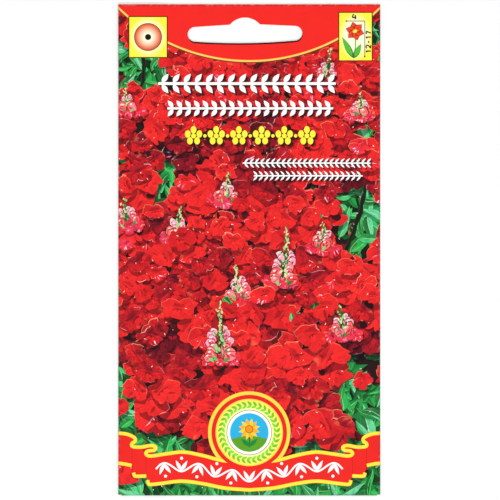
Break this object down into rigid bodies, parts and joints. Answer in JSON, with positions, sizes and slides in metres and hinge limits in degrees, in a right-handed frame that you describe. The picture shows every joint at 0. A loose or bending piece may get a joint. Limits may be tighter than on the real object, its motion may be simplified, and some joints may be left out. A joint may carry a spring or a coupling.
{
  "type": "seed packet",
  "caption": "Flat rectangular paper seed packet with a printed flower picture, a folded sheet with a glued back seam and bottom flap, a hanging slot in the header and a seed pouch inside.",
  "frame": {"origin": "centre of the footprint, on the surface that the packet lies on", "axes": "+X to the right across the printed front, +Y towards the header with the hanging slot, +Z out of the printed front"},
  "size_m": [0.08, 0.15, 0.0018],
  "materials": {
    "printed_paper": "coated, satin, printed in full colour on a red ground",
    "thin_paper": "uncoated, slightly see-through",
    "dried_glue": "dried glue film",
    "seed_coat": "matt, finely pitted"
  },
  "bodies": {
    "root": {"outer_packet": "printed_paper", "side_seam_glue": "dried_glue", "header_glue": "dried_glue", "bottom_flap_glue": "dried_glue", "inner_pouch": "thin_paper", "seeds": "seed_coat"}
  },
  "joints": []
}
